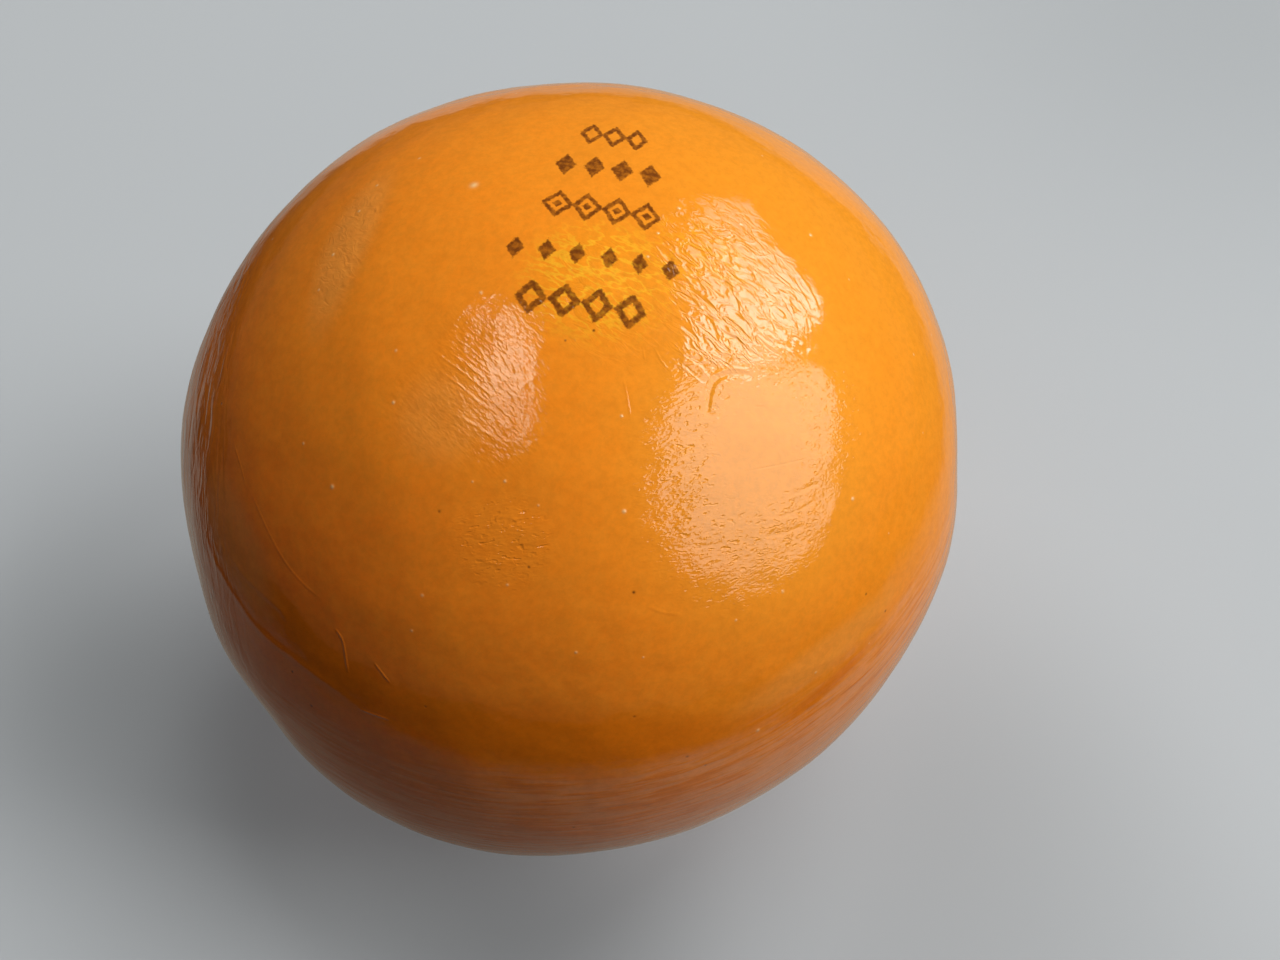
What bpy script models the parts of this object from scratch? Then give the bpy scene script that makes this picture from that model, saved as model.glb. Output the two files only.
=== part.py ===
"""A ball of cheese in its orange coating, resting on its small flat spot.

The ball is one solid piece.  Metres, +Z up; the origin lies under the middle of
the ball, on the surface that it rests on.  Its form is an oval ball, a little
lower than it is wide, with the gentle bulges and flats that pressing, turning and
handling leave, and with the flat spot that its own weight gives it.
"""
import math

import bmesh
import bpy
import numpy as np

# Driving dimensions
LONG_HALF = 0.0745       # middle to side, the long way of the oval
CROSS_HALF = 0.0720      # middle to side, across the oval
UPRIGHT_HALF = 0.0713    # middle to top
LONG_HEADING = 45.0      # degrees from +X towards +Y, of the long way
REST_RADIUS = 0.017      # the flat spot
REST_FADE = 0.012        # rise above the flat spot over which the bulges fade in

# Bulges (+) and flats (-): heading in degrees from +X towards +Y, rise in degrees
# above level, height in metres, and spread in degrees
SWELLS = (
    (-20.0, 6.0, 0.0005, 10.0),      # right side
    (-6.0, 12.0, -0.0005, 8.0),
    (15.0, 28.0, 0.0005, 15.0),
    (-50.0, -8.0, -0.0003, 22.0),    # front
    (-108.0, -11.0, 0.0010, 16.0),
    (-136.0, 0.0, -0.0008, 8.0),
    (-157.0, 13.0, -0.0010, 12.0),   # left side
    (-176.0, 26.0, 0.0004, 9.0),
    (150.0, 45.0, 0.0005, 18.0),
    (180.0, -30.0, -0.0006, 20.0),
    (80.0, 53.0, -0.0003, 25.0),     # back
    (100.0, -8.0, -0.0007, 24.0),
    (40.0, -28.0, 0.0006, 20.0),
    (0.0, 88.0, -0.0004, 20.0),      # top
)

# Facets
AROUND = 72              # sides of each ring
RINGS = 35               # rings from the top down to the flat spot's edge

# Coating
COATING_COLOUR = (0.80, 0.26, 0.02, 1.0)
COATING_ROUGHNESS = 0.22


def clear_scene():
    for thing in list(bpy.data.objects):
        bpy.data.objects.remove(thing, do_unlink=True)


def aimed(heading, rise):
    """Unit vector of a heading and a rise, both in degrees."""
    turn, lift = math.radians(heading), math.radians(rise)
    return np.array((math.cos(lift) * math.cos(turn), math.cos(lift) * math.sin(turn), math.sin(lift)))


def rest_depth():
    """How far the flat spot lies below the middle of the ball."""
    mean_half = (LONG_HALF + CROSS_HALF) / 2
    return UPRIGHT_HALF * math.sqrt(1 - (REST_RADIUS / mean_half) ** 2)


def oval(ways):
    """Points of the oval ball for an array of unit vectors, about its middle."""
    turn = math.radians(LONG_HEADING)
    along = ways[:, 0] * math.cos(turn) + ways[:, 1] * math.sin(turn)
    across = ways[:, 1] * math.cos(turn) - ways[:, 0] * math.sin(turn)
    along, across = along * LONG_HALF, across * CROSS_HALF
    x = along * math.cos(turn) - across * math.sin(turn)
    y = along * math.sin(turn) + across * math.cos(turn)
    return np.column_stack((x, y, ways[:, 2] * UPRIGHT_HALF))


def swell(ways):
    """Height of all bulges and flats together, for an array of unit vectors."""
    height = np.zeros(len(ways))
    for heading, rise, tall, spread in SWELLS:
        away = np.degrees(np.arccos(np.clip(ways @ aimed(heading, rise), -1.0, 1.0)))
        height += tall * np.exp(-(away / spread) ** 2)
    return height


def ball_points(ways):
    """Points of the finished ball, standing on z = 0, for an array of unit vectors."""
    points = oval(ways)
    points[:, 2] += rest_depth()
    fade = np.clip(points[:, 2] / REST_FADE, 0.0, 1.0)
    fade = fade * fade * (3 - 2 * fade)
    points += ways * (swell(ways) * fade)[:, None]
    points[:, 2] = np.maximum(points[:, 2], 0.0)
    return points


def ring_ways(slope):
    """Unit vectors round one ring, at an angle from straight up in radians."""
    turns = [2 * math.pi * side / AROUND for side in range(AROUND)]
    return [(math.sin(slope) * math.cos(t), math.sin(slope) * math.sin(t), math.cos(slope)) for t in turns]


def ball_mesh(name):
    """Closed skin: a cap at the top, rings of quads, and one flat face to rest on."""
    last_slope = math.pi - math.acos(rest_depth() / UPRIGHT_HALF)
    ways = [(0.0, 0.0, 1.0)]
    for ring in range(1, RINGS + 1):
        ways += ring_ways(last_slope * ring / RINGS)
    points = ball_points(np.array(ways))
    low, high = points.min(axis=0), points.max(axis=0)
    points[:, :2] -= (low[:2] + high[:2]) / 2

    skin = bmesh.new()
    corners = [skin.verts.new(point) for point in points]
    top = corners[0]
    rings = [corners[1 + ring * AROUND:1 + (ring + 1) * AROUND] for ring in range(RINGS)]
    for side in range(AROUND):
        after = (side + 1) % AROUND
        skin.faces.new((top, rings[0][side], rings[0][after]))
        for upper, lower in zip(rings, rings[1:]):
            skin.faces.new((upper[side], lower[side], lower[after], upper[after]))
    skin.faces.new(reversed(rings[-1]))
    mesh = bpy.data.meshes.new(name)
    skin.to_mesh(mesh)
    skin.free()
    mesh.shade_smooth()
    mesh.set_sharp_from_angle(angle=math.radians(35))
    return mesh


def coating_material():
    material = bpy.data.materials.new("orange_coating")
    material.use_nodes = True
    shader = material.node_tree.nodes["Principled BSDF"]
    shader.inputs["Base Color"].default_value = COATING_COLOUR
    shader.inputs["Roughness"].default_value = COATING_ROUGHNESS
    shader.inputs["Metallic"].default_value = 0.0
    return material


def cheese_ball():
    ball = bpy.data.objects.new("cheese_ball", ball_mesh("cheese_ball"))
    ball.data.materials.append(coating_material())
    bpy.context.scene.collection.objects.link(ball)
    return ball


clear_scene()
cheese_ball()
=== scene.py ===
"""Looks of the ball of cheese: its glossy coating, creases and marks, on a pale floor.

Metres, +Z up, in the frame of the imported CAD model.  The ball's visible skin is one closed
mesh of the same form as the CAD solid, with long waves, folds and scratches on top of it.
Its colours and its finest relief are one procedural material.
"""
import math

import bpy
import numpy as np
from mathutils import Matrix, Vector


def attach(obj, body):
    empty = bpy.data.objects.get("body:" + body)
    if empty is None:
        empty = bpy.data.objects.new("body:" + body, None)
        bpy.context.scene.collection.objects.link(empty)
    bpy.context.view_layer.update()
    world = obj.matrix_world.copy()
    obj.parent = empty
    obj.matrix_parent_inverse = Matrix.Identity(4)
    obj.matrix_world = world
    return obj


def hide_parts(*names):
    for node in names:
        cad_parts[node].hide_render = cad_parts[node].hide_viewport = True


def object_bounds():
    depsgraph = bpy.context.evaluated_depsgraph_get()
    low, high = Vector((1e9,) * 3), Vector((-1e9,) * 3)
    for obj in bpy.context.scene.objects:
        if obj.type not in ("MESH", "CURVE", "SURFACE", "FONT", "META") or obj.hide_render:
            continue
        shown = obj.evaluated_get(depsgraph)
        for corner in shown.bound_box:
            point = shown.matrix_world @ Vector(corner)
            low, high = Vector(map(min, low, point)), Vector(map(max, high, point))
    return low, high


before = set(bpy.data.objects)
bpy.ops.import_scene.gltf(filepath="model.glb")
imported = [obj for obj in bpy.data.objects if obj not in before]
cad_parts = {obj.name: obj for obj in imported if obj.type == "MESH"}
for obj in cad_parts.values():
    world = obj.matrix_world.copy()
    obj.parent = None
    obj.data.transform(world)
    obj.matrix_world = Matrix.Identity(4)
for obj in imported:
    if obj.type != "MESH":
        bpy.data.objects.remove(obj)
cad_low, cad_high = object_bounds()

MM = 0.001

# ---------------------------------------------------------------- form of the ball, as in the CAD solid

LONG_HALF = 0.0745
CROSS_HALF = 0.0720
UPRIGHT_HALF = 0.0713
LONG_HEADING = 45.0
REST_RADIUS = 0.017      # of the flat spot that the ball rests on
REST_FADE = 0.012        # swells and relief die out over this height above the floor
# Swells and hollows: heading and rise of the middle, height in metres, spread in degrees
SWELLS = (
    (-20.0, 6.0, 0.0005, 10.0),
    (-6.0, 12.0, -0.0005, 8.0),
    (15.0, 28.0, 0.0005, 15.0),
    (-50.0, -8.0, -0.0003, 22.0),
    (-108.0, -11.0, 0.0010, 16.0),
    (-136.0, 0.0, -0.0008, 8.0),
    (-157.0, 13.0, -0.0010, 12.0),
    (-176.0, 26.0, 0.0004, 9.0),
    (150.0, 45.0, 0.0005, 18.0),
    (180.0, -30.0, -0.0006, 20.0),
    (80.0, 53.0, -0.0003, 25.0),
    (100.0, -8.0, -0.0007, 24.0),
    (40.0, -28.0, 0.0006, 20.0),
    (0.0, 88.0, -0.0004, 20.0),
)

# The face of the ball is the side that the camera sees.  A place on it is given in millimetres
# across and up from its middle, on a ball of FACE_RADIUS.
CAMERA_RISE = 57.0
FACE_RADIUS = 73.0
FACE_RIGHT = np.array((1.0, 0.0, 0.0))
FACE_UP = np.array((0.0, math.sin(math.radians(CAMERA_RISE)), math.cos(math.radians(CAMERA_RISE))))
FACE_OUT = np.array((0.0, -math.cos(math.radians(CAMERA_RISE)), math.sin(math.radians(CAMERA_RISE))))

# ---------------------------------------------------------------- mesh and relief of the skin

CUBE_SIDE = 128          # quads along each side of the cube that is blown up into the ball
CORNER_STEPS = 1e6       # corners are told apart to this many steps
FACE_DENSITY = 0.40      # how far the quads crowd towards the face

# Long waves in the skin: wavelength and height in mm
WAVES = ((44.0, 0.10), (22.0, 0.045), (11.0, 0.020), (6.0, 0.008))
WAVES_OF_EACH = 14
WAVE_SEED = 7

# Patches of the face with a finish of their own: across, up, half width, half height, turn, strength
ZONES = {
    "calm": ((29.5, 2.0, 7.5, 9.0, 0.0, 1.0),),
    "pebbled": ((27.0, -2.0, 14.0, 17.0, 0.0, 1.0), (-5.5, -10.5, 6.5, 6.0, 0.0, 1.0),
                (42.0, 6.0, 4.0, 8.0, 0.0, 0.6)),
    "wrinkled": ((27.0, 23.0, 10.5, 9.0, 10.0, 1.0), (23.0, 31.0, 9.0, 8.5, 10.0, 0.9),
                 (8.0, 24.0, 11.0, 11.0, 0.0, 0.30), (24.0, 16.0, 8.0, 3.5, 20.0, 0.8),
                 (-31.0, 34.0, 5.0, 13.0, -12.0, 0.4)),
    "combed": ((-7.0, 11.0, 9.0, 12.0, 10.0, 1.0), (-14.5, 8.0, 8.0, 7.0, 0.0, 0.8)),
    "yellow": ((7.0, 26.0, 9.5, 8.5, 0.0, 1.0), (20.0, 30.0, 8.0, 6.0, 0.0, 0.4)),
    # lit: painted light, a paler, yellower orange where the main window shows in the gloss
    "lit": ((31.0, 3.0, 19.0, 24.0, 0.0, 1.0),),
    "hazy": ((41.0, -30.0, 15.0, 3.5, 18.0, 0.8), (-48.0, -12.0, 6.0, 12.0, 38.0, 0.9),
             (-31.0, 33.0, 4.2, 13.0, -14.0, 1.0), (-14.0, 6.5, 6.0, 6.0, 0.0, 0.6)),
    # clear: painted shade, a deeper orange where the gloss shows no floor and in the darker strip above the
    # low band
    "clear": ((-56.0, 25.0, 9.0, 26.0, -13.0, 0.35), (11.2, -53.6, 4.6, 1.1, -5.0, 1.0),
              (42.0, -36.0, 9.0, 1.6, 20.0, 0.8), (3.0, -40.0, 25.0, 5.5, -9.0, 0.9),
              (-33.0, -28.0, 11.0, 5.0, -45.0, 0.9)),
}
ZONE_SOFTNESS = 0.45
BEHIND = 9.0             # added to the distance from a zone's middle on the far side of the ball

# Folds, scratches and raised hairlines: half width and height in mm (below 0 where pressed in), and the
# places along it
CREASES = (
    (0.46, -0.085, ((21.8, 5.9), (21.9, 7.4), (22.1, 9.2), (22.9, 11.2), (24.8, 12.0), (27.2, 12.1),
                     (28.5, 11.7))),
    (0.28, 0.055, ((22.4, 11.9), (24.8, 12.9), (27.4, 12.8))),
    (0.50, -0.010, ((23.4, 7.4), (23.8, 8.3), (24.8, 9.3), (27.8, 10.0))),
    (0.22, 0.022, ((14.4, 15.8), (15.3, 14.1), (16.5, 12.5))),
    (0.20, 0.020, ((10.3, 11.6), (10.9, 8.8), (11.4, 5.9))),
    (0.18, 0.018, ((18.9, 15.5), (19.9, 14.2))),
    (0.18, 0.018, ((12.9, 15.7), (13.2, 14.0))),
    (0.16, -0.020, ((27.5, -1.4), (32.3, -0.6), (36.8, 0.3))),
    (0.20, -0.020, ((28.2, 7.6), (30.0, 7.6))),
    (0.45, -0.030, ((33.6, -5.3), (36.5, -4.0), (38.7, -3.3))),
    (0.50, -0.030, ((29.7, -10.8), (33.5, -10.2), (36.9, -9.4))),
    (0.40, -0.025, ((31.5, -8.3), (35.0, -7.3), (38.5, -5.8))),
    (0.35, 0.050, ((34.9, 28.7), (36.9, 25.6), (38.6, 22.1))),
    (0.30, 0.045, ((33.7, 28.0), (35.7, 25.0), (37.3, 21.8))),
    (0.30, 0.040, ((33.0, 23.9), (34.6, 21.4))),
    (0.40, -0.060, ((23.2, 18.5), (25.2, 17.4), (27.5, 15.3))),
    (0.25, 0.030, ((27.4, 19.4), (28.0, 17.5))),
    (0.25, 0.030, ((28.2, 19.3), (29.6, 18.3), (31.4, 17.3))),
    (0.25, 0.030, ((30.6, 21.0), (31.5, 18.0))),
    (0.25, 0.022, ((-16.1, 16.0), (-11.0, 12.3), (-6.2, 8.4))),
    (0.25, 0.018, ((-15.0, 13.2), (-11.0, 10.2), (-7.2, 7.0))),
    (0.25, 0.018, ((-13.4, 15.6), (-8.0, 11.4))),
    (0.30, 0.025, ((-12.8, 7.1), (-9.2, 5.1), (-5.8, 2.9))),
    (0.30, 0.025, ((-8.2, 23.1), (-6.8, 24.8))),
    (0.25, 0.022, ((-50.9, 22.0), (-51.3, 19.0), (-51.5, 16.1))),
    (0.25, 0.022, ((-47.8, 3.8), (-46.4, 0.6), (-45.2, -2.5))),
    (0.28, 0.020, ((-44.6, -2.5), (-42.0, -7.5), (-38.6, -13.1), (-35.2, -16.7), (-31.4, -19.4))),
    (0.90, 0.035, ((-55.3, -9.0), (-53.7, -14.0), (-51.6, -16.9), (-45.6, -24.0), (-38.5, -28.5),
                   (-32.5, -32.1), (-26.5, -36.7))),
    (0.70, 0.025, ((-50.0, -11.9), (-46.7, -16.0), (-42.5, -19.0), (-39.4, -21.2), (-38.6, -23.3))),
    (0.26, 0.075, ((-30.3, -23.1), (-29.2, -25.2), (-28.9, -30.4))),
    (0.24, 0.060, ((-24.6, -27.9), (-22.3, -31.2))),
    (0.26, 0.070, ((-28.0, -35.8), (-23.3, -37.1))),
    (0.30, 0.020, ((13.8, -19.8), (16.2, -20.8), (18.8, -21.3))),
    (0.40, 0.020, ((-8.8, -12.2), (-6.2, -13.6), (-3.2, -12.6))),
    (0.40, 0.020, ((-2.6, -9.4), (-4.4, -7.2), (-7.2, -7.2))),
    (1.10, 0.020, ((29.0, -32.7), (40.0, -31.5), (47.6, -28.5), (54.1, -24.9))),
    (0.80, 0.020, ((37.7, -39.1), (44.5, -37.6), (51.7, -34.3))),
    (0.80, -0.015, ((7.9, -52.8), (11.4, -53.4), (14.8, -53.8))),
)
CREASE_LAYERS = 3
CREASE_STEPS = 8         # short pieces between two places on a crease
CREASE_ENDS = 5.0        # each end tapers over one part in this many of the crease
CREASE_LIPS = 0.6        # depth of the hollow along each side of a ridge
SKIN_CREASE_WIDTH = 0.9  # mm, the narrowest half width that the skin's quads can carry
LAYER_FADE = 0.75        # mm over which a crease or a spot dies out, twice over, at its reach
LAYER_FAR = 9.0          # the distance that a layer holds where nothing is near

# Bubbles, grains and specks in the skin: across, up, radius in mm, and height in mm or, below 0, how dark
SPOTS = (
    (-30.1, -2.8, 0.45, 0.05), (-34.9, 3.4, 0.30, 0.04), (-21.0, 8.7, 0.35, 0.05),
    (-9.5, 23.9, 0.35, 0.04), (-5.2, -2.3, 0.30, 0.04), (-4.9, -16.4, 0.30, 0.03),
    (-0.7, -5.6, 0.25, 0.03), (-9.6, -2.3, 0.25, 0.03), (4.3, -26.1, 0.30, 0.04),
    (26.5, -22.6, 0.30, 0.03), (31.1, -41.3, 0.50, 0.05), (13.5, -27.2, 0.25, 0.03),
    (44.0, -5.8, 0.40, 0.05), (10.7, -6.6, 0.40, 0.05), (10.2, 6.3, 0.30, 0.05),
    (17.8, 37.3, 0.35, 0.06), (14.8, 33.0, 0.30, 0.05), (27.0, 35.4, 0.40, 0.05),
    (20.9, 21.6, 0.35, 0.06), (13.4, 29.2, 0.30, 0.05), (38.2, 34.8, 0.40, 0.05),
    (-12.3, 41.4, 0.90, 0.05), (-30.0, 38.5, 0.35, 0.05), (-33.0, 31.5, 0.40, 0.05),
    (-34.5, 26.0, 0.30, 0.04), (-28.0, 43.0, 0.35, 0.04), (20.2, -44.3, 0.40, -1.0),
    (23.1, -46.6, 0.30, -0.8), (12.3, -36.4, 0.35, -0.7), (-39.0, -30.8, 0.35, -0.9),
    (-36.6, -36.3, 0.40, -0.9), (12.1, -17.8, 0.35, -0.9), (6.2, 18.1, 0.30, -1.0),
    (2.4, 16.7, 0.25, -0.8), (-14.2, -6.3, 0.35, -0.6), (-2.0, -14.0, 0.30, -0.7),
)
SPOT_SIZE = 0.62         # of the radii given
SPOT_APART = 5.5         # mm at least between two
SPECK_DEPTH = 0.03       # mm that a dark speck is pressed in
# More of them, small, all around the ball
SCATTERED_SPOTS = 90
SCATTER_SEED = 11
SCATTERED_RADIUS = 0.22
SCATTERED_EXTRA_RADIUS = 0.16
SCATTERED_BUBBLES = 0.7  # share of bubbles among them
BUBBLE_HEIGHT = 0.03
SPECK_DARKNESS = 0.7

# ---------------------------------------------------------------- fine relief of the coating

# Noises: scale for each mm, detail, then roughness and distortion where they aren't 0.5 and 0
SWALES, SWALE_HEIGHT = (0.22, 1.5), 0.034
GRAINS, GRAIN_HEIGHT = (1.4, 1.5), 0.026
WRINKLES, WRINKLE_DEPTH = (0.60, 2.0, 0.5, 0.9), 0.175
COMBING, COMBING_HEIGHT = (1.4, 1.8), 0.022
LOW_STREAKS, LOW_STREAK_HEIGHT = (1.0, 3.0, 0.6), 0.036
EDGE_STREAKS, EDGE_STREAK_HEIGHT = (1.0, 2.5, 0.5, 0.8), 0.085
RIM_LUMPS, RIM_LUMP_HEIGHT = (0.24, 2.5), 0.080
# How noises are drawn out: scales along three axes and a turn in degrees
GRAIN_STRETCH = ((0.6, 1.2, 1.0), 14.0)
WRINKLE_STRETCH = ((0.45, 1.0, 1.0), -36.0)
COMBING_STRETCH = ((0.7, 1.5, 1.0), -42.0)
LOW_STREAK_STRETCH = ((0.085, 0.085, 0.95), 0.0)
EDGE_STREAK_STRETCH = ((0.7, 0.14, 0.3), -3.0)
CALMING = 0.85           # how much of the swales and grains a calm zone takes away
GRAINS_ELSEWHERE = 0.15  # share of the grains outside the pebbled zones
PIT_LEVEL = 0.20         # grains higher than this have a pit on top
PIT_DEPTH = 0.130
# Where the streaks and lumps start and are full: mm above the ball's middle, across and out of the face
LOW_BAND = (24.0, 14.0)
LOW_BAND_NOISE, LOW_BAND_RAGGED = (0.07, 3.0, 0.6), 7.0
LEFT_EDGE = (-46.0, -57.0)
RIM_NEAR, RIM_FAR = (44.0, 22.0), (-5.0, 12.0)

# ---------------------------------------------------------------- colours of the coating

# Painted light and shade: the orange is paler towards the lit upper right of the face and deeper towards its
# shaded lower left
LIT_SIDE_ORANGE = (0.86, 0.305, 0.018)
ORANGE = (1.0, 0.275, 0.013)
SHADED_SIDE_ORANGE = (0.89, 0.163, 0.006)
SHADED_SIDE_WAY = (-0.677, -0.668, -0.309)    # the way over the face towards its shaded side, along which painted shade deepens the orange
LIT_SIDE_TO_ORANGE = (-85.0, -15.0)          # mm along that way
ORANGE_TO_SHADED_SIDE = (-25.0, 45.0)
CLOUDS, CLOUD_SHIFT = (0.045, 2.0, 0.6), 11.0
# Painted light: the paler, yellower orange of the lit patch
LIT_COLOUR, LIT_SHARE = (0.95, 0.375, 0.03), 0.5
MOTTLE_COLOUR, MOTTLE_SHARE = (0.97, 0.36, 0.03), 0.16
MOTTLES, MOTTLE_SPAN = (0.5, 2.0), (-0.8, 0.8)
YELLOW_COLOUR, YELLOW_SHARE = (0.98, 0.35, 0.008), 0.35
# Painted glints: a web of gold lines over the yellow patches
GOLD_GLINT_COLOUR, GOLD_GLINT_SHARE, GOLD_GLINT_WEB = (1.0, 0.46, 0.022), 0.9, (0.6, 2.0)
GOLD_GLINT_STRETCH, GOLD_GLINT_LINES = ((0.6, 1.3, 1.0), -25.0), (0.22, 0.02)
HAZE_COLOUR, HAZE_SHARE = (0.95, 0.48, 0.12), 0.22
SPECK_COLOUR = (0.10, 0.028, 0.004)
# Painted glints: the bubbles are real raised spots, and their pale colour stands in for the glint on each
BUBBLE_GLINT_COLOUR, BUBBLE_GLINT_STRENGTH, BUBBLE_GLINT_MOST = (1.0, 0.70, 0.32), 14.0, 0.06
# Painted reflection: pale pinkish streaks where the low band shows the floor in its gloss
FLOOR_REFLECTION_COLOUR, FLOOR_REFLECTION_SHARE, FLOOR_REFLECTION_STREAKS = (0.96, 0.37, 0.15), 0.50, (0.30, -0.30)
# Painted shade: a deeper orange in streaks of the low band and in the clear patches
CLEAR_SHADE_COLOUR, CLEAR_SHADE_SHARE, CLEAR_SHADE_STREAKS = (0.86, 0.190, 0.003), 0.75, (0.10, 0.45)
CLEAR_SHADE_ZONE_SHARE = 0.8
# Painted shade: dark streaks along the left edge where its reflection breaks
EDGE_SHADE_COLOUR, EDGE_SHADE_SHARE, EDGE_SHADE_STREAKS = (0.45, 0.09, 0.002), 0.6, (0.1, 0.8)
FINE_GRAIN, FINE_GRAIN_SPAN, FINE_GRAIN_DARKEST = (0.8, 5.0, 0.75), (-0.7, 0.6), 0.87
ROUGHNESS, HAZY_ROUGHNESS = 0.065, 0.26

# ---------------------------------------------------------------- ink marks

# Middle of their patch on the face, and how far its rows are turned
MARKS_PLACE = (6.0, 33.0)
MARKS_TURN = -8.0
# Rows: shape, how many marks, middle along the row, height of the row, spacing, then each mark's half width,
# half height and half stroke; in mm
MARK_ROWS = (
    ("diamond", 3, -0.1, 21.8, 3.5, 1.45, 2.35, 0.36),
    ("lozenge", 4, 0.0, 13.4, 4.2, 1.60, 2.55, 0.40),
    ("target", 4, 0.2, 4.7, 4.3, 1.85, 2.25, 0.36),
    ("lozenge", 6, 0.2, -4.0, 4.4, 1.25, 1.85, 0.40),
    ("diamond", 4, -0.4, -11.8, 4.6, 1.75, 2.05, 0.50),
)
MARK_SLANT = 0.8         # turns a distance along a mark's half width into one from its slanted side
TARGET_DOT = 0.75        # mm, half width of the dot in a target
ROW_MARGIN = 0.5
INK_COLOUR = (0.19, 0.048, 0.005)
INK_RAGGED_NOISE, INK_RAGGED = (2.2, 2.0), 0.20
INK_WOBBLE_NOISE, INK_WOBBLE = (0.35, 1.0), 0.22
INK_SOFTNESS = 0.16
INK_FACING = (10.0, 20.0)      # mm towards the patch, where the ink starts and is full
INK_WEAR_NOISE, INK_WEAR_SPAN, INK_THINNEST = (1.3, 3.0), (-0.8, 0.5), 0.60

# ---------------------------------------------------------------- floor

FLOOR_COLOUR = (0.370, 0.386, 0.394)
FLOOR_ROUGHNESS = 0.6
FLOOR_SPECULAR = 0.1
# Painted fill light: the floor glows a little, though it is no lamp
FLOOR_PAINTED_FILL = 0.105       # lifts the shadows on the floor as the light of a whole room does
FLOOR_PAINTED_FILL_COLOUR = (0.96, 1.03, 1.07)
FLOOR_HALF = 3.0
FLOOR_DROP = 0.0002
# Painted shadows on the floor, where the ball and people nearby would shade it: its middle, its reach and by
# how much
FLOOR_PAINTED_SHADOWS = (
    ((0.05, -0.13, 0.0), 0.15, 0.26),
    ((-0.015, -0.075, 0.0), 0.055, 0.30),
    ((0.085, -0.035, 0.0), 0.08, 0.16),
    ((-0.12, -0.015, 0.0), 0.06, 0.28),
    ((0.26, 0.26, 0.0), 0.22, 0.16),
)

# A glowing stand-in for the pale floor that the gloss shows around the ball: a painted reflection and bounce
# light, with the floor's shade painted into its brightness. Heading, how far it reaches from the axis, how
# bright
NEAR_FLOOR_REFLECTION = (
    (-180.0, 0.22, 0.22), (-168.0, 0.235, 0.19), (-154.0, 0.30, 0.13), (-140.0, 0.26, 0.12),
    (-126.0, 0.26, 0.12), (-111.0, 0.24, 0.12), (-97.0, 0.21, 0.14), (-83.0, 0.20, 0.20),
    (-68.0, 0.20, 0.22), (-54.0, 0.165, 0.26), (-40.0, 0.14, 0.28), (-27.0, 0.17, 0.22),
    (-14.0, 0.25, 0.16), (-5.0, 0.24, 0.19), (3.0, 0.23, 0.27), (15.0, 0.21, 0.35), (26.0, 0.25, 0.28),
    (36.0, 0.33, 0.30), (48.0, 0.45, 0.28), (60.0, 0.80, 0.27), (72.0, 0.75, 0.24), (90.0, 0.70, 0.23),
    (106.0, 0.60, 0.34), (115.0, 0.52, 0.40), (124.0, 0.33, 0.27), (140.0, 0.27, 0.15),
    (156.0, 0.31, 0.28), (167.0, 0.26, 0.30), (180.0, 0.22, 0.24),
)
NEAR_FLOOR_STEP = 5.0
NEAR_FLOOR_TINT = (1.0, 0.91, 0.76)
# Rings of it: how far out over the reach, and how bright over the heading's own
NEAR_RINGS = ((0.90, 1.0), (1.0, 0.55), (1.10, 0.12), (2.2, 0.05))
# Close to the ball the stand-in glows as bright as the floor is there, a painted reflection in the gloss of
# its rim: heading and brightness
RIM_FLOOR_REFLECTION = (
    (-180.0, 0.20), (-150.0, 0.13), (-120.0, 0.13), (-90.0, 0.18), (-60.0, 0.32), (-30.0, 0.34),
    (0.0, 0.38), (60.0, 0.44), (120.0, 0.42), (150.0, 0.34), (180.0, 0.20),
)
RIM_RADII = (0.02, 0.105)      # the rim's floor is that bright from one to the other

# ---------------------------------------------------------------- light and camera

# Windows that the gloss shows: name, heading, rise, brightness, how it grows to the right and upwards,
# tint, outline as seen from a metre away
WINDOWS = (
    ("window_right", -25.2, 31.2, 3.1, 0.25, 0.40, (1.0, 1.12, 1.04),
     ((0.21, 0.55), (0.35, 0.35), (0.49, 0.14), (0.62, -0.05), (0.56, -0.14), (0.37, -0.25),
      (0.22, -0.36), (0.10, -0.47), (-0.01, -0.48), (-0.15, -0.41), (-0.33, -0.31), (-0.44, -0.14),
      (-0.45, 0.0), (-0.40, 0.15), (-0.24, 0.33), (-0.15, 0.46), (-0.04, 0.54), (0.12, 0.57))),
    ("window_back", 36.5, 37.8, 5.5, -2.1, 0.0, (1.0, 1.05, 1.06),
     ((0.38, 0.01), (0.33, -0.23), (0.16, -0.18), (0.04, -0.25), (-0.15, -0.32), (-0.32, -0.13),
      (-0.38, 0.17), (-0.38, 0.43), (-0.23, 0.34), (-0.15, 0.25), (0.0, 0.25), (0.22, 0.15))),
    ("ceiling_strip", -158.9, 75.3, 5.6, -1.1, 0.0, (1.0, 1.18, 1.03),
     ((-0.34, -0.02), (-0.28, 0.05), (-0.20, 0.09), (-0.12, 0.10), (-0.05, 0.12), (0.04, 0.09),
      (0.11, 0.0), (0.27, -0.05), (0.33, -0.12), (0.25, -0.15), (0.15, -0.12), (0.07, -0.09),
      (0.0, -0.08), (-0.05, -0.05), (-0.09, -0.02), (-0.25, -0.01))),
)
WINDOW_DISTANCE = 3.0
# Rings of a window: share of the way out to the outline, share of the brightness
WINDOW_RINGS = ((0.0, 1.0), (0.96, 1.0), (1.04, 0.0))

# Soft lamps that light the set without showing in the gloss: name, heading, rise, size as seen from a
# metre away, brightness
LAMPS = (
    ("soft_right", 0.0, 37.0, 0.50, 9.5),
    ("soft_back", 45.0, 37.0, 0.50, 1.7),
    ("soft_high", 45.0, 62.0, 0.50, 7.5),
    ("soft_top", 90.0, 62.0, 0.50, 0.15),
    ("soft_low", 0.0, 12.0, 0.50, 0.45),
    ("soft_left", 180.0, -15.0, 0.50, 0.35),
    ("soft_under", -135.0, -15.0, 0.50, 0.35),
)
LAMP_DISTANCE = 8.0

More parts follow.
